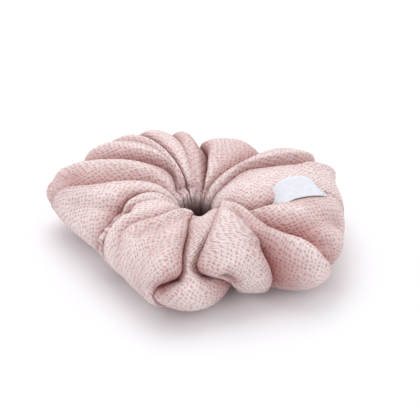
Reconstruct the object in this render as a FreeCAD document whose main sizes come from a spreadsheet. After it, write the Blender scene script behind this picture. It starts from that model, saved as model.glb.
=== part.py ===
"""Gathered knit scrunchie, extra large, lying on its side on a table.

A tube of waffle knit is gathered on a closed loop of flat elastic, its two ends are sewn together,
and a woven label is tacked on near that closing seam. Sizes are in millimetres. The origin is on the
table under the middle of the hair opening, +Z is up along the opening, and the label is at +X.

The ring stretches between two fingers along X, so the cover, the elastic and the long seam's thread are
each cut at the plane X = 0 into a left and a right half that slide apart.
"""

import FreeCAD, Part
import math
import os

import Sketcher
from FreeCAD import Placement, Rotation, Vector

doc = FreeCAD.newDocument("scrunchie")

# ---------------------------------------------------------------- driving dimensions

SIZES = {
    # the ring as it lies relaxed
    "outer_radius": 60.0,
    "ring_height": 35.0,
    "opening_radius": 7.0,
    "opening_land_depth": 1.0,
    "flattened_depth": 1.5,
    "gathered_wall": 3.0,
    "half_gap": 0.3,
    # the flat elastic loop
    "elastic_mean_radius": 22.0,
    "elastic_width": 6.0,
    "elastic_thickness": 1.5,
    "elastic_overlap_angle": 28.0,
    "elastic_seat_clearance": 0.05,
    "elastic_seat_depth": 2.0,
    # threads
    "seam_thread_radius": 0.5,
    "seam_thread_clearance": 0.1,
    "closing_seam_angle": 28.0,
    "closing_seam_inset": 2.1,
    "tack_stitch_radius": 0.3,
    "tack_stitch_pitch": 2.4,
    "tack_stitch_count": 4.0,
    # the woven label
    "label_chord": 22.0,
    "label_rise": 3.0,
    "label_width": 10.0,
    "label_thickness": 0.5,
    "label_middle_x": 40.4,
    "label_middle_y": -8.6,
    "label_clearance": 0.3,
    "label_turn": 28.0,
    "label_slope": -5.0,
    "label_tilt": 15.0,
    "label_stitch_count": 5.0,
    "label_stitch_inset": 1.2,
}

sheet = doc.addObject("Spreadsheet::Sheet", "sizes")
for row, (name, value) in enumerate(SIZES.items(), start=1):
    sheet.set(f"A{row}", name)
    sheet.set(f"B{row}", str(value))
    sheet.setAlias(f"B{row}", name)
doc.recompute()


def size(name):
    """The value of one cell of the sheet."""
    return float(sheet.get(name))


def add(kind, name, **expressions):
    """A document object whose properties are bound to expressions on the sheet's cells."""
    item = doc.addObject(kind, name)
    item.Label = name
    for prop, expression in expressions.items():
        item.setExpression(prop, expression)
    return item


def bind_placement(item, x="0", y="0", z="0"):
    """Binds where an object stands to expressions on the sheet's cells."""
    item.setExpression("Placement.Base.x", x)
    item.setExpression("Placement.Base.y", y)
    item.setExpression("Placement.Base.z", z)


def cut(name, base, tool):
    item = doc.addObject("Part::Cut", name)
    item.Label = name
    item.Base = base
    item.Tool = tool
    return item


def common(name, base, tool):
    item = doc.addObject("Part::Common", name)
    item.Label = name
    item.Base = base
    item.Tool = tool
    return item


# ---------------------------------------------------------------- expressions shared by several pieces

# The tube's section is an ellipse, trimmed flat where it rests and trimmed round the hair opening.
INNERMOST = "(sizes.opening_radius - sizes.opening_land_depth)"
SECTION_WIDE = f"((sizes.outer_radius - {INNERMOST}) / 2)"
SECTION_TALL = "((sizes.ring_height + sizes.flattened_depth) / 2)"
SECTION_RADIUS = f"((sizes.outer_radius + {INNERMOST}) / 2)"
SECTION_HEIGHT = "((sizes.ring_height - sizes.flattened_depth) / 2)"

ELASTIC_INNER = "(sizes.elastic_mean_radius - sizes.elastic_thickness / 2)"
ELASTIC_OUTER = "(sizes.elastic_mean_radius + sizes.elastic_thickness / 2)"

# The hollow that the elastic runs in. The gathers jam together on its hole side.
SEAT_RADIUS = f"({ELASTIC_INNER} - sizes.elastic_seat_clearance)"
HOLLOW_INNER = f"({SEAT_RADIUS} - sizes.elastic_seat_depth)"
HOLLOW_OUTER = "(sizes.outer_radius - sizes.gathered_wall)"
HOLLOW_WIDE = f"(({HOLLOW_OUTER} - {HOLLOW_INNER}) / 2)"
HOLLOW_RADIUS = f"(({HOLLOW_OUTER} + {HOLLOW_INNER}) / 2)"
HOLLOW_TALL = f"({SECTION_TALL} - sizes.gathered_wall)"


# ---------------------------------------------------------------- the two halves of space

def half_space(name, side):
    """A block that holds one half of the ring, from the table up. side is -1 for left and 1 for right."""
    block = add(
        "Part::Box",
        name,
        Length="sizes.outer_radius * 1.2",
        Width="sizes.outer_radius * 2.4",
        Height="sizes.ring_height * 1.5",
    )
    edge = "sizes.half_gap / 2" if side > 0 else "-sizes.half_gap / 2 - sizes.outer_radius * 1.2"
    bind_placement(block, x=edge, y="-sizes.outer_radius * 1.2")
    return block


left_space = half_space("left_space", -1)
right_space = half_space("right_space", 1)


# ---------------------------------------------------------------- knit cover

def ellipse_ring(name, wide, tall, radius):
    """An elliptical section, standing in the XZ plane, turned once around Z."""
    section = add("Part::Ellipse", name + "_section", MajorRadius=wide, MinorRadius=tall)
    section.Placement = Placement(Vector(), Rotation(Vector(1, 0, 0), 90))
    bind_placement(section, x=radius, z=SECTION_HEIGHT)
    ring = doc.addObject("Part::Revolution", name)
    ring.Label = name
    ring.Source = section
    ring.Axis = Vector(0, 0, 1)
    ring.Angle = 360
    ring.Solid = True
    return ring


cover_outside = ellipse_ring("cover_outside", SECTION_WIDE, SECTION_TALL, SECTION_RADIUS)
cover_hollow_round = ellipse_ring("cover_hollow_round", HOLLOW_WIDE, HOLLOW_TALL, HOLLOW_RADIUS)
elastic_seat = add("Part::Cylinder", "elastic_seat", Radius=SEAT_RADIUS, Height="sizes.ring_height")
cover_hollow = cut("cover_hollow", cover_hollow_round, elastic_seat)
cover_shell = cut("cover_shell", cover_outside, cover_hollow)
hair_opening = add("Part::Cylinder", "hair_opening", Radius="sizes.opening_radius", Height="sizes.ring_height * 2")
bind_placement(hair_opening, z="-sizes.ring_height / 2")
cover_ring = cut("cover_ring", cover_shell, hair_opening)


# ---------------------------------------------------------------- thread of the closing seam

def seam_loop(name, thread_radius):
    """A thread that goes once round the tube's section, buried in the gathered wall."""
    spine = add(
        "Part::Ellipse",
        name + "_line",
        MajorRadius=f"{SECTION_WIDE} - sizes.closing_seam_inset",
        MinorRadius=f"{SECTION_TALL} - sizes.closing_seam_inset",
    )
    thread = add("Part::Circle", name + "_thread", Radius=thread_radius)
    turn = Rotation(Vector(0, 0, 1), size("closing_seam_angle"))
    spine.Placement = Placement(Vector(), turn.multiply(Rotation(Vector(1, 0, 0), 90)))
    thread.Placement = Placement(Vector(), turn)
    outward = ("cos(sizes.closing_seam_angle * 1deg)", "sin(sizes.closing_seam_angle * 1deg)")
    middle = [f"{SECTION_RADIUS} * {part}" for part in outward]
    outermost = [f"(sizes.outer_radius - sizes.closing_seam_inset) * {part}" for part in outward]
    bind_placement(spine, x=middle[0], y=middle[1], z=SECTION_HEIGHT)
    bind_placement(thread, x=outermost[0], y=outermost[1], z=SECTION_HEIGHT)
    loop = doc.addObject("Part::Sweep", name)
    loop.Label = name
    loop.Sections = [thread]
    loop.Spine = (spine, ["Edge1"])
    loop.Solid = True
    loop.Frenet = True
    return loop


closing_seam_thread = seam_loop("closing_seam_thread", "sizes.seam_thread_radius")
closing_seam_channel = seam_loop(
    "closing_seam_channel", "sizes.seam_thread_radius + sizes.seam_thread_clearance"
)
cover_left = common("cover_left", cover_ring, left_space)
cover_right_plain = common("cover_right_plain", cover_ring, right_space)
cover_right = cut("cover_right", cover_right_plain, closing_seam_channel)


# ---------------------------------------------------------------- elastic loop

def band_body(name, inner, outer, angle):
    """A flat band standing on edge and turned around Z, made as a sketch and a revolution."""
    body = doc.addObject("PartDesign::Body", name)
    body.Label = name
    plane = next(f for f in body.Origin.OriginFeatures if f.Role == "XZ_Plane")
    sketch = body.newObject("Sketcher::SketchObject", name + "_sketch")
    sketch.AttachmentSupport = (plane, "")
    sketch.MapMode = "FlatFace"
    corners = [Vector(21, -3), Vector(23, -3), Vector(23, 3), Vector(21, 3)]
    for i, corner in enumerate(corners):
        sketch.addGeometry(Part.LineSegment(corner, corners[(i + 1) % 4]), False)
    for i in range(4):
        sketch.addConstraint(Sketcher.Constraint("Coincident", i, 2, (i + 1) % 4, 1))
    for i in (0, 2):
        sketch.addConstraint(Sketcher.Constraint("Horizontal", i))
        sketch.addConstraint(Sketcher.Constraint("Vertical", i + 1))
    sizes_set = (
        ("inner", Sketcher.Constraint("DistanceX", -1, 1, 0, 1, 21), inner),
        ("outer", Sketcher.Constraint("DistanceX", -1, 1, 0, 2, 23), outer),
        ("bottom", Sketcher.Constraint("DistanceY", 0, 1, -1, 1, 3), "sizes.elastic_width / 2"),
        ("tall", Sketcher.Constraint("DistanceY", 1, 1, 1, 2, 6), "sizes.elastic_width"),
    )
    for label, constraint, expression in sizes_set:
        index = sketch.addConstraint(constraint)
        sketch.renameConstraint(index, label)
        sketch.setExpression(f"Constraints.{label}", expression)
    turn = body.newObject("PartDesign::Revolution", name + "_turn")
    turn.Profile = sketch
    turn.ReferenceAxis = (sketch, ["V_Axis"])
    turn.setExpression("Angle", angle)
    turn.Midplane = True
    body.Tip = turn
    bind_placement(body, z=SECTION_HEIGHT)
    return body


elastic_band = band_body("elastic_band", ELASTIC_INNER, ELASTIC_OUTER, "360")
elastic_left = common("elastic_left", elastic_band, left_space)
elastic_right_plain = common("elastic_right_plain", elastic_band, right_space)
elastic_tail = band_body(
    "elastic_tail",
    ELASTIC_OUTER,
    f"{ELASTIC_OUTER} + sizes.elastic_thickness",
    "sizes.elastic_overlap_angle",
)
elastic_tail.Placement.Rotation = Rotation(Vector(0, 0, 1), size("closing_seam_angle"))
elastic_right = doc.addObject("Part::Fuse", "elastic_right")
elastic_right.Label = "elastic_right"
elastic_right.Base = elastic_right_plain
elastic_right.Tool = elastic_tail


# ---------------------------------------------------------------- stitches

def stitch_bar(radius, length):
    """One visible stitch: a short round bar of thread along Z with domed ends, centred on the origin."""
    straight = length - 2 * radius
    bar = Part.makeCylinder(radius, straight, Vector(0, 0, -straight / 2))
    for end in (-straight / 2, straight / 2):
        bar = bar.fuse(Part.makeSphere(radius, Vector(0, 0, end)))
    return bar.removeSplitter()


def group_of(name, solids):
    """Like stitches kept as separate solids of one sub-part."""
    group = doc.addObject("Part::Feature", name)
    group.Label = name
    group.Shape = Part.makeCompound(solids)
    return group


def join_stitches():
    """Bars of thread on the outside of the elastic's overlap."""
    radius = size("tack_stitch_radius")
    count = int(size("tack_stitch_count"))
    bar = stitch_bar(radius, size("elastic_width") * 0.75)
    overlap_outer = size("elastic_mean_radius") + 1.5 * size("elastic_thickness")
    reach = overlap_outer + radius + size("elastic_seat_clearance")
    height = (size("ring_height") - size("flattened_depth")) / 2
    step = math.degrees(size("tack_stitch_pitch") / overlap_outer)
    solids = []
    for i in range(count):
        angle = size("closing_seam_angle") + (i - (count - 1) / 2) * step
        turned = bar.copy()
        turned.translate(Vector(reach, 0, height))
        turned.rotate(Vector(), Vector(0, 0, 1), angle)
        solids.append(turned)
    return solids


elastic_join_stitching = group_of("elastic_join_stitching", join_stitches())


# ---------------------------------------------------------------- thread of the long seam

def long_seam():
    """The thread of the tube's long seam, turned inside, on the floor of the hollow."""
    line = add("Part::Torus", "long_seam_line", Radius1=SECTION_RADIUS, Radius2="sizes.seam_thread_radius")
    off_middle = f"(({HOLLOW_RADIUS} - {SECTION_RADIUS}) / {HOLLOW_WIDE})"
    lowest = f"{SECTION_HEIGHT} - {HOLLOW_TALL} * sqrt(1 - {off_middle} ^ 2)"
    bind_placement(line, z=f"{lowest} + sizes.seam_thread_radius + sizes.seam_thread_clearance")
    return line


long_seam_line = long_seam()
long_seam_thread_left = common("long_seam_thread_left", long_seam_line, left_space)
long_seam_thread_right = common("long_seam_thread_right", long_seam_line, right_space)


# ---------------------------------------------------------------- woven label

def label_bend_radius():
    """The radius of a strip that bows up by label_rise over label_chord."""
    half = size("label_chord") / 2
    rise = size("label_rise")
    return (half * half + rise * rise) / (2 * rise)


def cover_top(radius):
    """How high the cover's top is at a distance from the axis."""
    wide = (size("outer_radius") - size("opening_radius") + size("opening_land_depth")) / 2
    tall = (size("ring_height") + size("flattened_depth")) / 2
    share = (radius - (size("outer_radius") - wide)) / wide
    return size("ring_height") - tall + tall * math.sqrt(max(0.0, 1 - share * share))


def label_frame():
    """Where the label stands: it leans to the front, and only its lowest corner comes down to the cover."""
    turn = Rotation(Vector(0, 0, 1), size("label_turn"))
    slope = Rotation(Vector(0, 1, 0), -size("label_slope"))
    tilt = Rotation(Vector(1, 0, 0), size("label_tilt"))
    lean = turn.multiply(slope).multiply(tilt)
    x, y = size("label_middle_x"), size("label_middle_y")
    lifts = []
    for end in (-1, 1):
        for side in (-1, 1):
            corner = lean.multVec(Vector(end * size("label_chord") / 2, side * size("label_width") / 2, 0))
            lifts.append(cover_top(math.hypot(x + corner.x, y + corner.y)) - corner.z)
    return Placement(Vector(x, y, max(lifts) + size("label_clearance")), lean)


def label_strip():
    """A strip of woven tape, bowed as part of a cylinder whose axis runs across the strip."""
    bend = label_bend_radius()
    half_angle = math.degrees(math.asin(size("label_chord") / 2 / bend))
    shells = []
    for name, radius in (("label_outside", bend + size("label_thickness")), ("label_inside", bend)):
        shell = add("Part::Cylinder", name, Height="sizes.label_width")
        shell.Radius = radius
        shell.Angle = 2 * half_angle
        axis = Placement(Vector(0, size("label_width") / 2, size("label_rise") - bend), Rotation(Vector(1, 0, 0), 90))
        shell.Placement = label_frame().multiply(axis).multiply(
            Placement(Vector(), Rotation(Vector(0, 0, 1), 90 - half_angle))
        )
        shells.append(shell)
    return cut("label", shells[0], shells[1])


def label_stitches():
    """A short row of stitches over each end of the label."""
    radius = size("tack_stitch_radius")
    count = int(size("label_stitch_count"))
    pitch = size("label_width") / count
    bar = stitch_bar(radius, pitch * 0.8)
    bar.rotate(Vector(), Vector(1, 0, 0), 90)
    bend = label_bend_radius()
    reach = bend + size("label_thickness") + radius + size("elastic_seat_clearance")
    angle = math.asin(size("label_chord") / 2 / bend) - size("label_stitch_inset") / bend
    solids = []
    for end in (-1, 1):
        for i in range(count):
            along = Vector(end * reach * math.sin(angle), 0, reach * math.cos(angle) + size("label_rise") - bend)
            across = Vector(0, (i - (count - 1) / 2) * pitch, 0)
            stitch = bar.copy()
            stitch.translate(along + across)
            stitch.Placement = label_frame().multiply(stitch.Placement)
            solids.append(stitch)
    return solids


label = label_strip()
label_stitching = group_of("label_stitching", label_stitches())


# ---------------------------------------------------------------- checks and files

doc.recompute()
NODES = (
    cover_left,
    cover_right,
    elastic_left,
    elastic_right,
    elastic_join_stitching,
    long_seam_thread_left,
    long_seam_thread_right,
    closing_seam_thread,
    label,
    label_stitching,
)
for item in doc.Objects:
    if "Invalid" in item.State or "Error" in item.State:
        raise RuntimeError(f"{item.Name} is {item.State}")
for node in NODES:
    shape = node.Shape
    if shape.isNull() or not shape.isValid():
        raise RuntimeError(f"{node.Label} has no valid shape")
os.makedirs("parts", exist_ok=True)
for node in NODES:
    node.Shape.exportStep(f"parts/{node.Label}.step")
    box = node.Shape.BoundBox
    print(
        f"{node.Label}: {len(node.Shape.Solids)} solid, {node.Shape.Volume:.1f} mm3,"
        f" x {box.XMin:.2f} {box.XMax:.2f}, y {box.YMin:.2f} {box.YMax:.2f}, z {box.ZMin:.2f} {box.ZMax:.2f}"
    )
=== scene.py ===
import math

import bpy
import numpy as np
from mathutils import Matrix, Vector
from mathutils.bvhtree import BVHTree


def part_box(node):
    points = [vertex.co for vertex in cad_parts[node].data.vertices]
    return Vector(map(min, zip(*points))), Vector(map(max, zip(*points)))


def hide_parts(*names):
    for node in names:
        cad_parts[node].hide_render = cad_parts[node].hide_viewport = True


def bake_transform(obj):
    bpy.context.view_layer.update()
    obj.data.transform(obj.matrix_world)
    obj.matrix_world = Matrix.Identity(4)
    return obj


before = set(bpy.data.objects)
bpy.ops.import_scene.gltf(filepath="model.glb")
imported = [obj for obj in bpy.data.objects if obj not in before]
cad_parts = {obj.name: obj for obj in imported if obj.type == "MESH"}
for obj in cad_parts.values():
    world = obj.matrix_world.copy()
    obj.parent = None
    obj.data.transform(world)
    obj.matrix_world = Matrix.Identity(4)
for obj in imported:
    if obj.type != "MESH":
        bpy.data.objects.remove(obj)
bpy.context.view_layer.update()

# ------------------------------------------------------------------------------------------
# The knit cover: one strip of waffle knit, sewn into a tube, turned right side out and pushed up
# on the elastic. The gathers stand as puffy lobes between sharp creases that run out of the hair
# opening, over the top and down to the table.

COVER_ROWS = 96
COVER_COLUMNS = 440
KNIT_THICKNESS = 0.0012
OPENING_RADIUS = 7.0
TUBE_RADIUS = 22
CREST_RADIUS = 45
ROUNDNESS = 0.92

# How the ring's outline goes: ring angle in degrees (0 at the label, 90 at the back), then how far
# out it reaches and how high it stands, in millimetres.
OUTLINE = (
    (0, 60, 35), (14, 60, 34), (24, 62, 33), (34, 62, 35), (42, 59, 33), (50, 53, 28), (60, 56, 29),
    (70, 57, 30), (80, 54, 30), (88, 53, 30), (94, 55, 33), (100, 58, 32), (112, 61, 33), (124, 62, 33),
    (138, 63, 33), (152, 60, 33), (162, 67, 33), (170, 63, 33), (178, 56, 33), (188, 50, 33),
    (198, 46, 32), (215, 45, 31), (228, 46, 32), (240, 50, 33), (253, 57, 33), (262, 58, 33),
    (270, 56, 32), (278, 52, 31), (286, 49, 32), (298, 47, 34), (304, 51, 34), (312, 56, 33),
    (319, 63, 32), (328, 64, 32), (340, 62, 34), (352, 60, 35),
)

# On the left front side the underside is tucked in under the lobes, by this share of the tube's width.
TUCK = 0.3
TUCK_ANGLE = 205

# Each crease runs all the way round the tube. Its path is pairs of (section angle, ring angle) in
# degrees: the section angle is 180 in the opening, 90 on top, 0 outside and -90 underneath. Its
# depth in millimetres is given the same way, and the last number says how far the cloth on top
# leans over it, towards larger ring angles.
CREASES = (
    ("left_low",
     ((180, 165), (131, 161), (115, 169), (95, 175), (71, 178), (40, 174), (0, 172), (-90, 178)),
     ((180, 2), (131, 5), (115, 9), (95, 13), (71, 10), (40, 3), (0, 3), (-90, 5)), -4),
    ("left_front",
     ((180, 186), (135, 184), (94, 190), (84, 194), (65, 200), (46, 206), (29, 208), (0, 207),
      (-90, 210)),
     ((180, 1), (115, 2), (94, 6), (65, 10), (29, 10), (0, 6), (-90, 5)), 3),
    ("front_left",
     ((180, 205), (135, 203), (89, 207), (75, 213), (58, 215), (43, 216), (22, 216), (0, 218),
      (-90, 225)),
     ((180, 1), (115, 2), (89, 4), (58, 9), (22, 7), (0, 5), (-90, 5)), -4),
    ("pillow_top",
     ((180, 240), (135, 243), (100, 238), (83, 231), (70, 225), (50, 223), (20, 229), (0, 233),
      (-90, 240)),
     ((180, 2), (135, 4), (83, 4), (50, 2.5), (0, 0.5), (-90, 4)), -2),
    ("front",
     ((180, 262), (135, 262), (124, 262), (94, 264), (76, 262), (37, 263), (19, 257), (0, 252),
      (-90, 258)),
     ((180, 2), (124, 3), (94, 6), (67, 9), (37, 11), (15, 10), (-5, 2), (-90, 4)), 3),
    ("front_right",
     ((180, 316), (135, 312), (117, 304), (93, 288), (82, 280), (67, 276), (49, 272), (22, 279),
      (0, 287), (-40, 295), (-90, 298)),
     ((180, 2), (117, 5), (89, 9), (47, 13), (0, 12), (-90, 6)), -4),
    ("right_wedge",
     ((180, 320), (135, 317), (110, 311), (90, 303), (64, 302), (22, 302), (0, 303), (-90, 306)),
     ((180, 1), (90, 1), (64, 5), (38, 11), (0, 8), (-90, 5)), 6),
    ("right_fold",
     ((180, 325), (135, 325), (102, 316), (90, 314), (75, 315), (65, 318), (23, 321), (-19, 328),
      (-90, 332)),
     ((180, 2), (102, 7), (68, 9), (30, 6), (-4, 5), (-90, 5)), 5),
    ("label_front",
     ((180, 336), (135, 334), (120, 326), (112, 327), (95, 341), (80, 350), (62, 355), (45, 358),
      (0, 361), (-90, 358)),
     ((180, 2), (112, 7), (90, 8), (62, 4), (45, 1), (0, 1), (-90, 4)), -3),
    ("label_back",
     ((180, 395), (155, 389), (140, 387), (118, 389), (108, 388), (99, 384), (71, 381), (51, 382),
      (0, 388), (-90, 386)),
     ((180, 2), (138, 5), (101, 9), (55, 9), (36, 9), (0, 7), (-90, 5)), 5),
    ("back_right_low",
     ((180, 402), (135, 402), (90, 397), (60, 396), (40, 398), (0, 400), (-90, 400)),
     ((180, 1), (115, 1), (60, 0.5), (20, 2), (0, 4), (-90, 5)), 0),
    ("back_right",
     ((180, 428), (156, 427), (145, 425), (128, 420), (100, 414), (80, 411), (45, 410), (0, 412),
      (-90, 412)),
     ((180, 2), (145, 5), (116, 6), (90, 7), (45, 8), (0, 6), (-90, 5)), 3),
    ("back_mid_right",
     ((180, 434), (144, 435), (127, 437), (96, 440), (80, 441), (60, 444), (45, 446), (0, 448),
      (-90, 445)),
     ((180, 2), (144, 6), (90, 9), (45, 9), (0, 6), (-90, 5)), 3),
    ("back",
     ((180, 455), (135, 457), (90, 460), (56, 463), (0, 464), (-90, 464)),
     ((180, 1), (135, 1), (90, 2), (56, 6), (0, 6), (-90, 5)), 0),
    ("back_left",
     ((180, 468), (142, 468), (116, 469), (92, 471), (76, 473), (46, 475), (0, 475), (-90, 476)),
     ((180, 2), (132, 6), (89, 9), (48, 6), (0, 5), (-90, 5)), 4),
    ("left_high",
     ((180, 480), (135, 478), (90, 481), (71, 485), (40, 491), (0, 495), (-90, 494)),
     ((180, 1), (110, 1), (71, 3), (40, 4), (0, 4), (-90, 5)), 0),
    ("left",
     ((180, 500), (150, 494), (139, 489), (127, 488), (114, 490), (102, 496), (94, 502), (82, 511),
      (55, 514), (0, 511), (-90, 510)),
     ((180, 2), (148, 5), (119, 11), (86, 13), (60, 11), (36, 7), (0, 6), (-90, 5)), -6),
)
# Creases deep enough to hide where one lobe's rows of knit stop and the next lobe's begin.
HIDDEN_BREAKS = (
    "left_low", "left_front", "front", "front_right", "right_fold", "label_front", "label_back",
    "back_mid_right", "back_left", "left",
)

# After these creases a narrow stretch of lobe lies lower than its neighbours: by what share of the
# creases' depth, and between which section angles it gets there. It comes up again over LOW_FADE
# degrees before LOW_ENDS, just inside the opening.
LOW_ENDS = 178
LOW_FADE = 25
LOW_LOBES = {"left_front": (0.2, -30, 30), "front": (0.6, -30, 30), "right_fold": (0.6, 95, 118)}

# Softer folds on the lobes: depth and half width in millimetres, a ridge where the depth is negative,
# along a path of (section angle, ring angle). They fade out over FOLD_FADE degrees at both ends.
FOLD_FADE = 14
SOFT_FOLDS = (
    (2.2, 3.5, ((150, 128), (127, 130), (107, 134), (84, 141), (58, 149), (30, 150))),
    (1.6, 3.0, ((30, 184), (45, 190), (60, 200), (76, 207))),
    (1.8, 4.0, ((100, 309), (85, 315), (70, 323), (43, 338), (20, 345))),
    (1.2, 3.0, ((95, 308), (85, 309), (59, 322), (24, 331))),
    (2.2, 2.2, ((125, 259), (91, 249), (76, 239), (60, 236))),
    (1.5, 3.0, ((50, 70), (66, 70), (88, 70), (100, 68))),
    (1.5, 3.5, ((150, 90), (120, 92), (90, 91), (60, 92))),
    (-1.5, 5.0, ((125, 315), (100, 298), (80, 287), (55, 280))),
    (-2.5, 3.0, ((60, 17), (40, 19), (20, 22))),
    (1.4, 3.0, ((60, 165), (45, 166), (20, 162), (0, 160))),
    (1.6, 4.0, ((70, 250), (40, 246), (10, 244), (-20, 246))),
    (1.4, 4.0, ((40, 306), (20, 308), (0, 308), (-30, 310))),
    (3.5, 1.6, ((14, 285), (8, 287), (0, 289))),
    (-1.6, 2.0, ((24, 286), (10, 291), (-4, 294))),
    (3.0, 2.6, ((24, 261), (16, 258), (8, 256))),
    (1.5, 4.0, ((60, 338), (30, 345), (0, 345), (-30, 342))),
)


def round_trip(pairs, at):
    """A value that changes smoothly all the way round the section, given at a few section angles."""
    angles = [pair[0] for pair in pairs]
    values = [pair[1] for pair in pairs]
    fine = np.arange(-180, 180, 3.0)
    rough = np.interp(fine, angles[::-1], values[::-1], period=360)
    soft = sum(np.roll(rough, shift) for shift in range(-3, 4)) / 7
    return np.interp(at, fine, soft, period=360)


def round_ring(column, at):
    """One column of the outline, followed smoothly all the way round the ring."""
    fine = np.arange(0, 360, 1.0)
    rough = np.interp(fine, [row[0] for row in OUTLINE], [row[column] for row in OUTLINE], period=360)
    soft = sum(np.roll(rough, shift) for shift in range(-4, 5)) / 9
    return np.interp(np.mod(at, 360), fine, soft, period=360)


def soft_fold(depth, width, path, section, ring, radius):
    """How far in a soft fold presses each point."""
    along, places = np.array(sorted(path), float).T
    every = np.arange(-180, 181)
    line = np.interp(every, along, places)
    centre = np.interp(section, every, line)
    slant = np.interp(section, every, np.gradient(line))
    off = np.mod(ring - centre + 180, 360) - 180
    reach = np.radians(off) * radius / np.sqrt(1 + (slant * radius / TUBE_RADIUS) ** 2)
    after_start = np.clip((section - along.min() + FOLD_FADE) / FOLD_FADE, 0, 1)
    before_end = np.clip((along.max() + FOLD_FADE - section) / FOLD_FADE, 0, 1)
    fade = after_start * before_end
    return depth * np.exp(-((reach / width) ** 2)) * fade * fade * (3 - 2 * fade)


def cover_points():
    """The gathered tube as a grid of points, rows round the section by columns round the ring."""
    section = 180 - 360 * np.arange(COVER_ROWS) / COVER_ROWS
    angle = np.array([round_trip(path, section) for _, path, _, _ in CREASES])
    depth = np.array([round_trip(deep, section) for _, _, deep, _ in CREASES])
    lean = np.array([crease[3] for crease in CREASES] + [CREASES[0][3]], float)
    angle = np.vstack([angle, angle[:1] + 360])
    depth = np.vstack([depth, depth[:1]])
    spans = (angle[1:] - angle[:-1]).mean(1) + 0.4 * (depth[:-1] + depth[1:]).mean(1)
    counts = np.maximum(10, np.round(COVER_COLUMNS * spans / spans.sum())).astype(int)
    theta, sunk, shade = [], [], []
    for i, count in enumerate(counts):
        turn = np.linspace(0, math.pi, count, endpoint=False)[:, None]
        half = (angle[i + 1] - angle[i]) / 2
        blend = (1 - np.cos(turn)) / 2
        deep = depth[i] * (1 - blend) + depth[i + 1] * blend
        wide = np.radians(half) * CREST_RADIUS
        roomy = np.clip(wide / np.maximum(deep, 2), 0.5, 2.5)
        steep = 1 / (1 + np.exp(np.array([lean[i], -lean[i + 1]]) * 0.6))
        steep = steep[0] * (turn < math.pi / 2) + steep[1] * (turn >= math.pi / 2)
        share, start, end = LOW_LOBES.get(CREASES[i][0], (0, 0, 1))
        low = share * np.clip((section - start) / (end - start), 0, 1)
        low = low * np.clip((LOW_ENDS - section) / LOW_FADE, 0, 1)
        power = 1.3 + 0.15 * roomy + steep * (1.4 + 0.5 * roomy) + 2 * low
        across = -np.sign(np.cos(turn)) * np.abs(np.cos(turn)) ** (2 / power)
        arch = np.abs(np.sin(turn)) ** (2 / power)
        tip = (lean[i] * (1 - blend) + lean[i + 1] * blend) * arch * np.clip(deep / 8, 0, 1)
        theta.append((angle[i] + half) + half * across + np.degrees(tip / CREST_RADIUS))
        sunk.append(deep * (1 - arch * (1 - low)))
        # Painted shade: how far the knit's colour is darkened near each crease, widest on its gentle
        # side, where the crease's shade falls.
        shade.append((1 - arch) ** 0.65 * np.clip(deep / 6, 0, 1))
    theta = np.vstack(theta).T
    sunk = np.vstack(sunk).T
    shade = np.vstack(shade).T
    section = section[:, None] + 0 * theta
    outer = round_ring(1, theta)
    height = round_ring(2, theta)
    wide = (outer - OPENING_RADIUS) / 2
    phi = np.radians(section)
    rough_radius = OPENING_RADIUS + wide + wide * np.cos(phi)
    for depth_here, width_here, path in SOFT_FOLDS:
        pressed = soft_fold(depth_here, width_here, path, section, theta, rough_radius)
        sunk = sunk + pressed
        # Soft folds that press in get some painted shade as well.
        shade = shade + np.maximum(pressed, 0) * 0.12
    near_tuck = np.clip(np.cos(np.radians(theta - TUCK_ANGLE)), 0, 1) ** 2
    tuck = TUCK * near_tuck * np.clip(-np.sin(phi), 0, 1)
    flat = np.abs(np.cos(phi)) ** ROUNDNESS * np.sign(np.cos(phi)) * (1 - tuck)
    rise = np.abs(np.sin(phi)) ** ROUNDNESS * np.sign(np.sin(phi))
    normal = np.stack([np.cos(phi) / wide, np.sin(phi) / (height / 2)])
    normal /= np.linalg.norm(normal, axis=0)
    radius = OPENING_RADIUS + wide + wide * flat - sunk * normal[0]
    level = height / 2 + height / 2 * rise - sunk * normal[1]
    turn = np.radians(theta)
    points = np.stack([radius * np.cos(turn), radius * np.sin(turn), level], -1)
    return points / 1000, counts, np.clip(shade, 0, 1)


def grid_faces(rows, columns):
    """Quads over a grid that wraps round both ways."""
    index = np.arange(rows * columns).reshape(rows, columns)
    below = np.roll(index, -1, 0)
    return np.stack([index, below, np.roll(below, -1, 1), np.roll(index, -1, 1)], -1).reshape(-1, 4)


def grid_object(name, points):
    """A closed tube of quads through a grid of points that wraps round both ways."""
    rows, columns = points.shape[:2]
    mesh = bpy.data.meshes.new(name)
    mesh.from_pydata(points.reshape(-1, 3).tolist(), [], grid_faces(rows, columns).tolist())
    mesh.shade_smooth()
    piece = bpy.data.objects.new(name, mesh)
    bpy.context.scene.collection.objects.link(piece)
    return piece


def read_points(piece):
    """A mesh's points with its modifiers applied."""
    shown = piece.evaluated_get(bpy.context.evaluated_depsgraph_get())
    flat = np.empty(len(shown.data.vertices) * 3)
    shown.data.vertices.foreach_get("co", flat)
    return flat.reshape(-1, 3)


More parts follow.
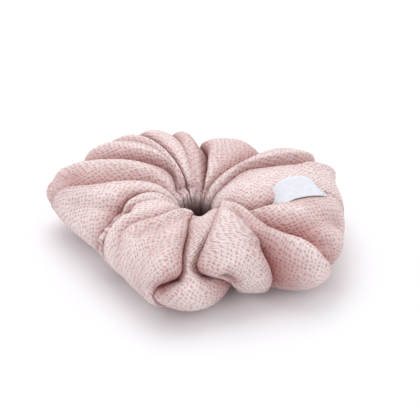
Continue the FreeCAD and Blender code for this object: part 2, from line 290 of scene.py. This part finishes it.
def relax(points, frames, most):
    """Lets cloth settle: every second row and column is run as cloth, and the rest follow."""
    scene = bpy.context.scene
    coarse = points[::2, ::2]
    cloth_piece = grid_object("settling", coarse)
    top = bpy.data.meshes.new("table_top")
    top_corners = [(-0.2, -0.2, 0), (0.2, -0.2, 0), (0.2, 0.2, 0), (-0.2, 0.2, 0)]
    top.from_pydata(top_corners, [], [(0, 1, 2, 3)])
    table = bpy.data.objects.new("table_top", top)
    scene.collection.objects.link(table)
    table.modifiers.new("hit", "COLLISION")
    table.collision.thickness_outer = 0.0005
    cloth = cloth_piece.modifiers.new("cloth", "CLOTH")
    settings = cloth.settings
    settings.quality = 6
    settings.mass = 0.02
    settings.tension_stiffness = 8
    settings.compression_stiffness = 8
    settings.shear_stiffness = 3
    settings.bending_stiffness = 0.12
    settings.air_damping = 2
    settings.use_pressure = True
    settings.uniform_pressure_force = 0.3
    settings.shrink_min = -0.04
    settings.effector_weights.gravity = 0
    cloth.collision_settings.use_self_collision = False
    cloth.collision_settings.distance_min = 0.0008
    cloth.point_cache.frame_start = 1
    cloth.point_cache.frame_end = frames
    for step in range(1, frames + 1):
        scene.frame_set(step)
        bpy.context.view_layer.update()
    move = (read_points(cloth_piece) - coarse.reshape(-1, 3)).reshape(coarse.shape)
    far = np.linalg.norm(move, axis=-1, keepdims=True)
    move *= most * np.tanh(far / most) / np.maximum(far, 1e-9)
    bpy.data.objects.remove(cloth_piece)
    bpy.data.objects.remove(table)
    scene.frame_set(1)
    full = np.empty_like(points)
    full[::2, ::2] = move
    full[1::2, ::2] = (move + np.roll(move, -1, 0)) / 2
    full[:, 1::2] = (full[:, ::2] + np.roll(full[:, ::2], -1, 1)) / 2
    return points + full


SETTLING_FRAMES = 12
SETTLING_MOST = 0.002
TABLE_GAP = 0.0003
points, counts, shade = cover_points()
if points.shape[1] % 2:
    raise ValueError("the cover needs an even number of columns")
points = relax(points, SETTLING_FRAMES, SETTLING_MOST)
points[..., 2] = np.maximum(points[..., 2] - np.percentile(points[..., 2], 1), TABLE_GAP)
cover = grid_object("knit_cover", points)
cover_mesh = cover.data


def point_normals(points):
    """Which way the cloth faces at each point of the grid, outwards."""
    along = np.roll(points, -1, 1) - np.roll(points, 1, 1)
    round_it = np.roll(points, -1, 0) - np.roll(points, 1, 0)
    normal = np.cross(round_it, along)
    return normal / np.maximum(np.linalg.norm(normal, axis=-1, keepdims=True), 1e-12)


def fabric_coordinates(points, counts):
    """Where each corner of the grid lies on the knit, in millimetres, along and across its rows.

    Distances are measured over the finished folds from the middle of each run of lobes, so the
    knit keeps its size everywhere, and what would not match is down inside a deep crease.
    """
    rows, columns = points.shape[:2]
    step = np.linalg.norm(np.roll(points, -1, 1) - points, axis=-1) * 1000
    travelled = np.concatenate([np.zeros((rows, 1)), np.cumsum(step, 1)], 1)
    starts = np.concatenate([[0], np.cumsum(counts)])
    breaks = [starts[i] for i, crease in enumerate(CREASES) if crease[0] in HIDDEN_BREAKS]
    runs = list(zip(breaks, breaks[1:] + [columns]))
    wale = np.zeros((rows, columns, 2))
    for first, last in runs:
        middle = (first + last) // 2
        offset = travelled[:, middle:middle + 1]
        base = travelled[:, middle].mean()
        wale[:, first:last, 0] = travelled[:, first:last] - offset + base
        wale[:, first:last, 1] = travelled[:, first + 1:last + 1] - offset + base
    climb = np.linalg.norm(np.roll(points, -1, 0) - points, axis=-1) * 1000
    course = np.concatenate([np.zeros((1, columns)), np.cumsum(climb, 0)], 0)
    course -= course[rows // 4]
    course = sum(np.roll(course, shift, 1) for shift in range(-3, 4)) / 7
    corners = np.zeros((rows, columns, 4, 2))
    lower_wale = np.roll(wale, -1, 0)
    corners[..., 0, 0], corners[..., 3, 0] = wale[..., 0], wale[..., 1]
    corners[..., 1, 0], corners[..., 2, 0] = lower_wale[..., 0], lower_wale[..., 1]
    corners[..., 0, 1], corners[..., 1, 1] = course[:-1], course[1:]
    corners[..., 3, 1] = np.roll(course[:-1], -1, 1)
    corners[..., 2, 1] = np.roll(course[1:], -1, 1)
    return corners


def set_uv(mesh, name, corners):
    """Gives a mesh a coordinate for each corner of each face."""
    layer = mesh.uv_layers.new(name=name)
    layer.data.foreach_set("uv", corners.reshape(-1).astype(np.float32))


set_uv(cover_mesh, "fabric", fabric_coordinates(points, counts) / 1000)

# Painted shade: the knit's colour is darkened down in its creases, and deep in the opening, where shade
# falls: nearer the middle than DARK_WITHIN and lower than DARK_BELOW, each reached over its own fade,
# in millimetres.
DARK_WITHIN = 13
DARK_WITHIN_FADE = 4
DARK_BELOW = 22
DARK_BELOW_FADE = 7
from_middle = np.linalg.norm(points[..., :2], axis=-1) * 1000
painted_opening_shade = np.clip((DARK_WITHIN - from_middle) / DARK_WITHIN_FADE, 0, 1)
painted_opening_shade *= np.clip((DARK_BELOW - points[..., 2] * 1000) / DARK_BELOW_FADE, 0, 1)
for attribute, amount in (("fold", shade), ("opening", painted_opening_shade)):
    layer = cover_mesh.attributes.new(attribute, "FLOAT", "POINT")
    layer.data.foreach_set("value", amount.reshape(-1).astype(np.float32))


class Wire:
    """A shader socket that can be written in sums: each operator adds the Math node it stands for."""

    def __init__(self, tree, socket):
        self.tree = tree
        self.socket = socket

    def node(self, kind, settings=None, output=0, **inputs):
        """Adds a node: its settings first, then its sockets by name, or by number as i0, i1, i2."""
        made = self.tree.nodes.new(kind)
        for key, value in (settings or {}).items():
            setattr(made, key, value)
        for key, value in inputs.items():
            name = int(key[1:]) if key[1:].isdigit() else key.replace("_", " ")
            socket = made.inputs[name]
            if isinstance(value, Wire):
                self.tree.links.new(value.socket, socket)
            else:
                socket.default_value = value
        return Wire(self.tree, made.outputs[output])

    def maths(self, operation, *values):
        """Adds a Math node."""
        inputs = {f"i{i}": value for i, value in enumerate(values)}
        return self.node("ShaderNodeMath", {"operation": operation}, **inputs)

    def __add__(self, other):
        return self.maths("ADD", self, other)

    __radd__ = __add__

    def __sub__(self, other):
        return self.maths("SUBTRACT", self, other)

    def __rsub__(self, other):
        return self.maths("SUBTRACT", other, self)

    def __mul__(self, other):
        return self.maths("MULTIPLY", self, other)

    __rmul__ = __mul__

    def cosine(self):
        return self.maths("COSINE", self)

    def between(self, low, high):
        """0 below low, 1 above high and smooth in between."""
        settings = {"interpolation_type": "SMOOTHSTEP", "clamp": True}
        return self.node("ShaderNodeMapRange", settings, Value=self, From_Min=low, From_Max=high)

    def mix(self, low, high):
        """A colour that goes from low at 0 to high at 1."""
        settings = {"data_type": "RGBA"}
        return self.node("ShaderNodeMix", settings, 2, i0=self, i6=low, i7=high)

    def blend(self, low, high):
        """Multiplies low by high, more and more from 0 to 1."""
        settings = {"data_type": "RGBA", "blend_type": "MULTIPLY"}
        return self.node("ShaderNodeMix", settings, 2, i0=self, i6=low, i7=high)


CLOTH_SPECULAR = 0.15


def material(name, roughness, sheen):
    """A new material, its shader node, and a Wire to start its expressions from."""
    made = bpy.data.materials.new(name)
    made.use_nodes = True
    shader = made.node_tree.nodes["Principled BSDF"]
    shader.inputs["Roughness"].default_value = roughness
    shader.inputs["Specular IOR Level"].default_value = CLOTH_SPECULAR
    shader.inputs["Sheen Weight"].default_value = sheen
    return made, shader, Wire(made.node_tree, None)


# The waffle's dimples stand staggered, in a lattice of CELL_ACROSS by CELL_ALONG. Its yarns lie
# slantwise both ways, YARN_PITCH apart along a row.
CELL_ACROSS = 0.0023
CELL_ALONG = 0.0028
YARN_PITCH = 0.00115
YARN_SLANT = 0.8
KNIT_WANDER = 0.0030
PALE_YARN = (0.98, 0.875, 0.87, 1)
DIMPLE_ROSE = (0.78, 0.46, 0.44, 1)
YARN_GAP_TINT = (0.91, 0.81, 0.80, 1)
# Painted shade: the colours the knit's own colour is multiplied towards down in its creases and deep in
# its opening.
CREASE_PAINTED_SHADE = (0.40, 0.07, 0.055, 1)
OPENING_PAINTED_SHADE = (0.20, 0.11, 0.11, 1)
PINK_SHEEN = (1, 0.9, 0.89, 1)


def waffle_knit():
    """Waffle knit: pale raised yarns round small rose dimples, brushed soft, a little uneven, darkened
    with painted shade in its creases and deep in its opening.
    """
    made, shader, w = material("waffle_knit", 0.95, 0.35)
    tree = made.node_tree
    fabric = w.node("ShaderNodeUVMap", {"uv_map": "fabric"})
    flat = {"noise_dimensions": "2D"}
    wander = w.node("ShaderNodeTexNoise", flat, 1, Vector=fabric, Scale=260.0, Detail=4.0)
    shift = (KNIT_WANDER, KNIT_WANDER, 0)
    add_up = {"operation": "MULTIPLY_ADD"}
    uneven = w.node("ShaderNodeVectorMath", add_up, 0, i0=wander, i1=shift, i2=fabric)
    wale = w.node("ShaderNodeSeparateXYZ", Vector=uneven)
    course = Wire(tree, wale.socket.node.outputs[1])
    across = (wale * (2 * math.pi / CELL_ACROSS)).cosine()
    along = (course * (2 * math.pi / CELL_ALONG)).cosine()
    leg = ((wale + course * YARN_SLANT) * (2 * math.pi / YARN_PITCH)).cosine()
    other_leg = ((wale - course * YARN_SLANT) * (2 * math.pi / YARN_PITCH)).cosine()
    yarn = w.maths("MAXIMUM", leg, other_leg)
    fine = {"Scale": 1500.0, "Detail": 5.0, "Roughness": 0.75}
    fibre = w.node("ShaderNodeTexNoise", flat, 0, Vector=fabric, **fine)
    patch = w.node("ShaderNodeTexNoise", flat, 0, Vector=fabric, Scale=420.0, Detail=3.0)
    uneven_knit = (fibre - 0.5) * 1.5 + (patch - 0.5) * 1.2
    dimple = (across * along * 0.9 + yarn * 0.12 + uneven_knit).between(-0.05, 1.1)
    rib = 0.5 - 0.5 * across * along
    gaps = 1 - (yarn + (fibre - 0.5) * 1.6).between(-0.5, 0.75)
    colour = dimple.mix(PALE_YARN, DIMPLE_ROSE)
    colour = gaps.blend(colour, YARN_GAP_TINT)
    # Painted shade: the colour is multiplied darker and redder down in the creases, and darker deep in
    # the opening.
    depth = w.node("ShaderNodeAttribute", {"attribute_name": "fold"}, 2)
    opening = w.node("ShaderNodeAttribute", {"attribute_name": "opening"}, 2)
    deep = depth.blend(colour, CREASE_PAINTED_SHADE)
    deep = opening.blend(deep, OPENING_PAINTED_SHADE)
    tree.links.new(deep.socket, shader.inputs["Base Color"])
    height = rib * 0.5 - dimple * 0.9 - gaps * 0.4 + fibre * 0.8
    bump = w.node("ShaderNodeBump", None, 0, Strength=0.7, Distance=0.0006, Height=height)
    tree.links.new(bump.socket, shader.inputs["Normal"])
    shader.inputs["Sheen Tint"].default_value = PINK_SHEEN
    return made


cover_mesh.materials.append(waffle_knit())
thick = cover.modifiers.new("thickness", "SOLIDIFY")
thick.thickness = KNIT_THICKNESS
thick.offset = -1


def make_final(piece):
    """Keeps a piece's shape as its modifiers leave it, and takes the modifiers off."""
    shown = piece.evaluated_get(bpy.context.evaluated_depsgraph_get())
    piece.data = bpy.data.meshes.new_from_object(shown)
    piece.modifiers.clear()


make_final(cover)
cover_surface = BVHTree.FromObject(cover, bpy.context.evaluated_depsgraph_get())


def give(piece, slot, *nodes):
    """Bakes a piece's placement into its mesh and hides the CAD nodes it stands for."""
    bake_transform(piece)
    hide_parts(*nodes)


give(cover, "waffle_knit", "cover_left", "cover_right")

# ------------------------------------------------------------------------------------------
# The long seam: spun polyester thread that joins the two long edges of the strip. The tube is
# turned right side out after it is sewn, so the thread lies inside, along the underside.

SEAM_THREAD_RADIUS = 0.00045
SEAM_LOWEST = 0.002
THREAD_SIDES = 8
STITCH_SWELL = 0.18


def thread_tube(name, line, radius):
    """A closed thread through a loop of points, with a little swell for each stitch."""
    line = np.asarray(line)
    ahead = np.roll(line, -1, 0) - np.roll(line, 1, 0)
    ahead /= np.linalg.norm(ahead, axis=1, keepdims=True)
    side = np.cross(ahead, np.array([0.3, 0.2, 1.0]))
    side /= np.linalg.norm(side, axis=1, keepdims=True)
    over = np.cross(side, ahead)
    around = np.linspace(0, 2 * math.pi, THREAD_SIDES, endpoint=False)[:, None, None]
    swell = radius * (1 + STITCH_SWELL * np.cos(np.arange(len(line)) * math.pi))[None, :, None]
    rings = line[None] + swell * (np.cos(around) * side[None] + np.sin(around) * over[None])
    return grid_object(name, rings)


def spun_thread(name, colour):
    """Spun polyester thread: two plies twisted together, faintly glossy."""
    made, shader, w = material(name, 0.6, 0.2)
    place = w.node("ShaderNodeTexCoord", None, "Object")
    wave = {"wave_type": "BANDS", "bands_direction": "DIAGONAL"}
    ply = w.node("ShaderNodeTexWave", wave, 1, Vector=place, Scale=900.0, Distortion=2.0, Detail=1.0)
    dark = tuple(0.72 * part for part in colour[:3]) + (1,)
    made.node_tree.links.new(ply.mix(dark, colour).socket, shader.inputs["Base Color"])
    bump = w.node("ShaderNodeBump", None, 0, Strength=0.6, Distance=0.0001, Height=ply)
    made.node_tree.links.new(bump.socket, shader.inputs["Normal"])
    return made


PALE_PINK = (0.80, 0.58, 0.57, 1)
inwards = -point_normals(points)
bottom_row = COVER_ROWS * 3 // 4
long_line = points[bottom_row] + inwards[bottom_row] * (KNIT_THICKNESS + SEAM_THREAD_RADIUS)
long_line[:, 2] = np.maximum(long_line[:, 2], SEAM_LOWEST)
long_seam = thread_tube("long_seam_thread", long_line, SEAM_THREAD_RADIUS)
long_seam.data.materials.append(spun_thread("seam_thread", PALE_PINK))
give(long_seam, "sewing_thread", "long_seam_thread_left", "long_seam_thread_right")

# ------------------------------------------------------------------------------------------
# The elastic: a loop of flat braided elastic, off-white, pulled through the tube before its
# ends are joined. Its two ends lie one on the other and are sewn through.

band_low, band_high = (Vector(corner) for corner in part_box("elastic_left"))
band_outer = -band_low.x
band_middle = (band_low.z + band_high.z) / 2
band_width = band_high.z - band_low.z
BAND_THICKNESS = 0.0015
JOIN_ANGLE = 28
JOIN_SPREAD = 14
JOIN_CLIMB = 8
ELASTIC_STEPS = 150
CORD_PITCH = 0.0010
BRAID_PITCH = 0.0009
ELASTIC_GREY = (0.62, 0.60, 0.57, 1)
ELASTIC_WHITE = (0.86, 0.85, 0.82, 1)


def elastic_points():
    """A flat band with rounded edges that goes once round and then on, over its own start."""
    section = (
        (-1, -0.42), (-1, 0.42), (-0.9, 0.5), (0.9, 0.5),
        (1, 0.42), (1, -0.42), (0.9, -0.5), (-0.9, -0.5),
    )
    start, end = JOIN_ANGLE - JOIN_SPREAD, JOIN_ANGLE + JOIN_SPREAD + 360
    angles = np.radians(np.linspace(start, end, ELASTIC_STEPS))
    climb = np.clip((np.degrees(angles) - 360 - start + JOIN_CLIMB) / JOIN_CLIMB, 0, 1)
    climb = climb * climb * (3 - 2 * climb) * (BAND_THICKNESS * 1.02)
    rows = []
    for high, out in section:
        radius = band_outer - BAND_THICKNESS / 2 + out * BAND_THICKNESS + climb
        level = band_middle + high * band_width / 2 + 0 * angles
        rows.append(np.stack([radius * np.cos(angles), radius * np.sin(angles), level], -1))
    return np.stack(rows)


def strip_object(name, rows_of_points):
    """A closed bar through a grid of points: the section goes round, and both ends are capped."""
    rows, columns = rows_of_points.shape[:2]
    index = np.arange(rows * columns).reshape(rows, columns)
    below = np.roll(index, -1, 0)
    quads = np.stack([index[:, :-1], index[:, 1:], below[:, 1:], below[:, :-1]], -1)
    faces = quads.reshape(-1, 4).tolist()
    faces += [index[:, 0].tolist(), index[::-1, -1].tolist()]
    mesh = bpy.data.meshes.new(name)
    mesh.from_pydata(rows_of_points.reshape(-1, 3).tolist(), [], faces)
    mesh.shade_smooth()
    piece = bpy.data.objects.new(name, mesh)
    bpy.context.scene.collection.objects.link(piece)
    return piece


def braided_elastic():
    """Braided elastic: covered rubber cords side by side, crossed by fine diagonal yarns."""
    made, shader, w = material("braided_elastic", 0.75, 0.1)
    place = w.node("ShaderNodeTexCoord", None, "Object")
    parts = w.node("ShaderNodeSeparateXYZ", Vector=place)
    east, north = parts, Wire(w.tree, parts.socket.node.outputs[1])
    level = Wire(w.tree, parts.socket.node.outputs[2])
    along = w.maths("ARCTAN2", north, east) * (band_outer - BAND_THICKNESS / 2)
    cords = (level * (2 * math.pi / CORD_PITCH)).cosine()
    left_yarn = ((along + level) * (2 * math.pi / BRAID_PITCH)).cosine()
    right_yarn = ((along - level) * (2 * math.pi / BRAID_PITCH)).cosine()
    braid = (cords * 0.5 + left_yarn * 0.25 + right_yarn * 0.25).between(-0.8, 0.8)
    colour = braid.mix(ELASTIC_GREY, ELASTIC_WHITE)
    made.node_tree.links.new(colour.socket, shader.inputs["Base Color"])
    bump = w.node("ShaderNodeBump", None, 0, Strength=0.6, Distance=0.0002, Height=braid)
    made.node_tree.links.new(bump.socket, shader.inputs["Normal"])
    return made


elastic = strip_object("elastic_band", elastic_points())
elastic.data.materials.append(braided_elastic())
give(elastic, "elastic_tape", "elastic_left", "elastic_right")

# ------------------------------------------------------------------------------------------
# The elastic's join: a bar tack of off-white polyester thread, four straight bars sewn through
# both layers of the overlap from edge to edge.

OFF_WHITE = (0.84, 0.83, 0.80, 1)
TACK_RADIUS = 0.0003
tack_low, tack_high = (Vector(corner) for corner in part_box("elastic_join_stitching"))
TACK_COUNT = 4
TACK_PITCH = 0.0024


def stitch_bars(name, bars, radius):
    """Short stitches, each a bar of thread along its line that dips in at both ends."""
    points, faces = [], []
    steps, around = 7, THREAD_SIDES
    for start, end, up in bars:
        start, end, up = Vector(start), Vector(end), Vector(up).normalized()
        side = (end - start).normalized().cross(up)
        first = len(points)
        for i in range(steps):
            share = i / (steps - 1)
            bow = math.sin(math.pi * share)
            centre = start.lerp(end, share) + up * radius * (1.6 * bow - 0.8)
            wide = radius * (0.55 + 0.45 * bow)
            for k in range(around):
                turn = 2 * math.pi * k / around
                points.append(centre + wide * (math.cos(turn) * side + math.sin(turn) * up))
        for i in range(steps - 1):
            for k in range(around):
                a, b = first + i * around + k, first + i * around + (k + 1) % around
                faces.append((a, b, b + around, a + around))
        faces.append([first + k for k in range(around)][::-1])
        faces.append([first + (steps - 1) * around + k for k in range(around)])
    mesh = bpy.data.meshes.new(name)
    mesh.from_pydata([tuple(point) for point in points], [], faces)
    mesh.shade_smooth()
    piece = bpy.data.objects.new(name, mesh)
    bpy.context.scene.collection.objects.link(piece)
    return piece


tack_radius = band_outer + BAND_THICKNESS + TACK_RADIUS * 0.8
tacks = []
for i in range(TACK_COUNT):
    angle = math.radians(JOIN_ANGLE) + (i - (TACK_COUNT - 1) / 2) * TACK_PITCH / tack_radius
    out = Vector((math.cos(angle), math.sin(angle), 0))
    foot = out * tack_radius + Vector((0, 0, tack_low.z))
    head = out * tack_radius + Vector((0, 0, tack_high.z))
    tacks.append((foot, head, out))
join = stitch_bars("elastic_join_stitches", tacks, TACK_RADIUS)
join.data.materials.append(spun_thread("elastic_thread", OFF_WHITE))
give(join, "label_thread", "elastic_join_stitching")

# ------------------------------------------------------------------------------------------
# The closing seam: the same pink thread, sewn once round the tube where its two ends meet. The
# crease just behind the label hides it.

seam_column = int(sum(counts[:[crease[0] for crease in CREASES].index("label_back")]))
closing_line = points[:, seam_column] + inwards[:, seam_column] * (KNIT_THICKNESS + SEAM_THREAD_RADIUS)
closing_line[:, 2] = np.maximum(closing_line[:, 2], SEAM_LOWEST)
smooth_line = sum(np.roll(closing_line, shift, 0) for shift in range(-2, 3)) / 5
closing_seam = thread_tube("closing_seam_thread_loop", smooth_line, SEAM_THREAD_RADIUS)
closing_seam.data.materials.append(bpy.data.materials["seam_thread"])
give(closing_seam, "sewing_thread", "closing_seam_thread")

# ------------------------------------------------------------------------------------------
# The label: a piece of bluish-white woven satin tape, left plain. Its two cut ends are tucked
# down and tacked, and it stands off the knit between them like a little bridge.

LABEL_WIDTH = 0.010
LABEL_LENGTH = 0.026
LABEL_THICKNESS = 0.00035
LABEL_TURN = math.radians(28)
LABEL_CHORD = 0.022
LABEL_RISE = 0.0048
LABEL_TILT = (6, 24)
LABEL_CLEAR = 0.0006
LABEL_MOST_LIFT = 0.004
LABEL_SUNK = 0.0008
LABEL_SHIFT = Vector((0, 0.0015, 0))
LABEL_ACROSS, LABEL_ALONG = 14, 41
SELVEDGE = (0.0041, 0.0044)
FLOAT_PITCH = 0.00034
WARP_PITCH = 0.00026
SATIN_SHADE = (0.66, 0.68, 0.75, 1)
SATIN_WHITE = (0.87, 0.885, 0.93, 1)
label_low, label_high = (Vector(corner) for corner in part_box("label"))
label_middle = (label_low + label_high) / 2 + LABEL_SHIFT


def cloth_height(x, y):
    """How high the knit stands at a place, seen from above."""
    hit = cover_surface.ray_cast(Vector((x, y, 0.2)), Vector((0, 0, -1)))[0]
    return hit.z if hit else 0.03


def label_sheet():
    """The tape's middle surface: bowed along its length and leaning to the front in its middle."""
    along_label = Vector((math.cos(LABEL_TURN), math.sin(LABEL_TURN), 0))
    across_label = Vector((-math.sin(LABEL_TURN), math.cos(LABEL_TURN), 0))
    ends = [label_middle + side * along_label * LABEL_CHORD / 2 for side in (-1, 1)]
    levels = [cloth_height(end.x, end.y) for end in ends]
    rows = []
    for i in range(LABEL_ACROSS):
        v = i / (LABEL_ACROSS - 1) * 2 - 1
        row = []
        for k in range(LABEL_ALONG):
            u = k / (LABEL_ALONG - 1) * 2 - 1
            arch = 1 - abs(u) ** 2.2
            place = label_middle + along_label * u * LABEL_CHORD / 2
            level = levels[0] * (1 - u) / 2 + levels[1] * (1 + u) / 2 + LABEL_RISE * arch - LABEL_SUNK
            tilt = math.radians(LABEL_TILT[0] + LABEL_TILT[1] * arch)
            spot = place + across_label * v * LABEL_WIDTH / 2 * math.cos(tilt)
            row.append((spot.x, spot.y, level + v * LABEL_WIDTH / 2 * math.sin(tilt)))
        rows.append(row)
    rows = np.array(rows)
    under = np.array([[cloth_height(spot[0], spot[1]) for spot in row] for row in rows])
    free = 1 - np.abs(np.linspace(-1, 1, LABEL_ALONG)) ** 3
    need = np.clip((under + LABEL_CLEAR - rows[..., 2]).max(0), 0, LABEL_MOST_LIFT) * free
    need = sum(np.roll(need, shift) for shift in range(-4, 5)) / 9
    rows[..., 2] += need
    return rows


def woven_satin():
    """Satin weave: long floats along the tape, a plain-woven selvedge at each edge, soft gloss."""
    made, shader, w = material("woven_satin", 0.55, 0.25)
    tape = w.node("ShaderNodeUVMap", {"uv_map": "tape"})
    u = w.node("ShaderNodeSeparateXYZ", Vector=tape)
    v = Wire(w.tree, u.socket.node.outputs[1])
    floats = ((u + v * 0.35) * (2 * math.pi / FLOAT_PITCH)).cosine()
    warp = (v * (2 * math.pi / WARP_PITCH)).cosine()
    edge = w.maths("ABSOLUTE", v - LABEL_WIDTH / 2).between(*SELVEDGE)
    flat = {"noise_dimensions": "2D"}
    cloudy = w.node("ShaderNodeTexNoise", flat, 0, Vector=tape, Scale=500.0, Detail=3.0)
    weave = floats * (1 - edge) * 0.3 + warp * 0.4 + edge * 0.3 + (cloudy - 0.5) * 0.8
    weave = weave.between(-0.9, 0.9)
    colour = weave.mix(SATIN_SHADE, SATIN_WHITE)
    made.node_tree.links.new(colour.socket, shader.inputs["Base Color"])
    bump = w.node("ShaderNodeBump", None, 0, Strength=0.4, Distance=0.0001, Height=weave)
    made.node_tree.links.new(bump.socket, shader.inputs["Normal"])
    return made


label_grid = label_sheet()
label_rows, label_columns = label_grid.shape[:2]
index = np.arange(label_rows * label_columns).reshape(label_rows, label_columns)
label_quads = np.stack([index[:-1, :-1], index[:-1, 1:], index[1:, 1:], index[1:, :-1]], -1)
label_faces = label_quads.reshape(-1, 4)
label_mesh = bpy.data.meshes.new("woven_label_tape")
label_mesh.from_pydata(label_grid.reshape(-1, 3).tolist(), [], label_faces.tolist())
label_mesh.shade_smooth()
label = bpy.data.objects.new("woven_label_tape", label_mesh)
bpy.context.scene.collection.objects.link(label)
tape_rows = np.arange(label_rows) / (label_rows - 1) * LABEL_WIDTH
tape_columns = np.arange(label_columns) / (label_columns - 1) * LABEL_LENGTH
tape = np.stack(np.broadcast_arrays(tape_columns[None], tape_rows[:, None]), -1).reshape(-1, 2)
set_uv(label_mesh, "tape", tape[label_faces.reshape(-1)])
tape_thickness = label.modifiers.new("thickness", "SOLIDIFY")
tape_thickness.thickness = LABEL_THICKNESS
tape_thickness.offset = 0
label_mesh.materials.append(woven_satin())
make_final(label)
give(label, "woven_label", "label")

# ------------------------------------------------------------------------------------------
# The label's stitches: five short stitches of white thread across each tucked end.

LABEL_STITCHES = 5
STITCH_RADIUS = 0.0002
STITCH_SHARE = 0.76
COOL_WHITE = (0.80, 0.81, 0.86, 1)
end_stitches = []
for column, inner in ((2, 3), (label_columns - 3, label_columns - 4)):
    for i in range(LABEL_STITCHES):
        low = (i + 0.5 - STITCH_SHARE / 2) / LABEL_STITCHES * (label_rows - 1)
        high = (i + 0.5 + STITCH_SHARE / 2) / LABEL_STITCHES * (label_rows - 1)
        line = label_grid[:, column]
        start = Vector([np.interp(low, range(label_rows), line[:, axis]) for axis in range(3)])
        end = Vector([np.interp(high, range(label_rows), line[:, axis]) for axis in range(3)])
        beside = Vector(label_grid[0, inner] - label_grid[0, column])
        up = beside.cross(end - start)
        up = up if up.z > 0 else -up
        up.normalize()
        lift = up * (LABEL_THICKNESS / 2 + STITCH_RADIUS * 0.8)
        end_stitches.append((start + lift, end + lift, up))
label_thread = stitch_bars("label_stitches", end_stitches, STITCH_RADIUS)
label_thread.data.materials.append(spun_thread("label_thread", COOL_WHITE))
give(label_thread, "label_thread", "label_stitching")

# ------------------------------------------------------------------------------------------
# The studio: a plain pale floor, an even white surround, one large soft lamp high behind the ring, and
# a camera that looks down on it from the front.

FLOOR_REACH = 6.0
FLOOR_WHITE = (0.89, 0.885, 0.91, 1)
STUDIO_LIGHT = 0.96
floor_mesh = bpy.data.meshes.new("floor")
floor_corners = [(x * FLOOR_REACH, y * FLOOR_REACH, 0) for x, y in ((-1, -1), (1, -1), (1, 1), (-1, 1))]
floor_mesh.from_pydata(floor_corners, [], [(0, 1, 2, 3)])
floor = bpy.data.objects.new("floor", floor_mesh)
bpy.context.scene.collection.objects.link(floor)
floor_paint = bpy.data.materials.new("floor_paint")
floor_paint.use_nodes = True
floor_shader = floor_paint.node_tree.nodes["Principled BSDF"]
floor_shader.inputs["Base Color"].default_value = FLOOR_WHITE
floor_shader.inputs["Roughness"].default_value = 0.8
floor_mesh.materials.append(floor_paint)

world = bpy.data.worlds.new("studio")
world.use_nodes = True
world.node_tree.nodes["Background"].inputs["Color"].default_value = (1, 1, 1, 1)
world.node_tree.nodes["Background"].inputs["Strength"].default_value = STUDIO_LIGHT
bpy.context.scene.world = world


def soft_box(name, place, aim, side, power):
    """A square lamp aimed at a point."""
    lamp = bpy.data.lights.new(name, "AREA")
    lamp.shape = "SQUARE"
    lamp.size = side
    lamp.energy = power
    lamp_object = bpy.data.objects.new(name, lamp)
    bpy.context.scene.collection.objects.link(lamp_object)
    lamp_object.location = place
    lamp_object.rotation_euler = (Vector(aim) - Vector(place)).to_track_quat("-Z", "Y").to_euler()


KEY_PLACE = (-0.1, 0.3, 0.8)
KEY_SIDE = 0.6
KEY_POWER = 2.3
soft_box("key", KEY_PLACE, (0, 0, 0), KEY_SIDE, KEY_POWER)

CAMERA_ELEVATION = math.radians(33)
CAMERA_DISTANCE = 0.6
CAMERA_LENS = 124.9
CAMERA_SENSOR = 36
AIM_RIGHT = 0.00556
AIM_LEVEL = 0.015
AIM_UP = 0.00342
camera_data = bpy.data.cameras.new("camera")
camera_data.lens = CAMERA_LENS
camera_data.sensor_width = CAMERA_SENSOR
camera = bpy.data.objects.new("camera", camera_data)
bpy.context.scene.collection.objects.link(camera)
back = Vector((0, -math.cos(CAMERA_ELEVATION), math.sin(CAMERA_ELEVATION)))
up = Vector((0, math.sin(CAMERA_ELEVATION), math.cos(CAMERA_ELEVATION)))
aim = Vector((AIM_RIGHT, 0, AIM_LEVEL)) + up * AIM_UP
camera.location = aim + back * CAMERA_DISTANCE
camera.rotation_euler = (-back).to_track_quat("-Z", "Y").to_euler()
bpy.context.scene.camera = camera
bpy.context.scene.view_settings.view_transform = "Standard"
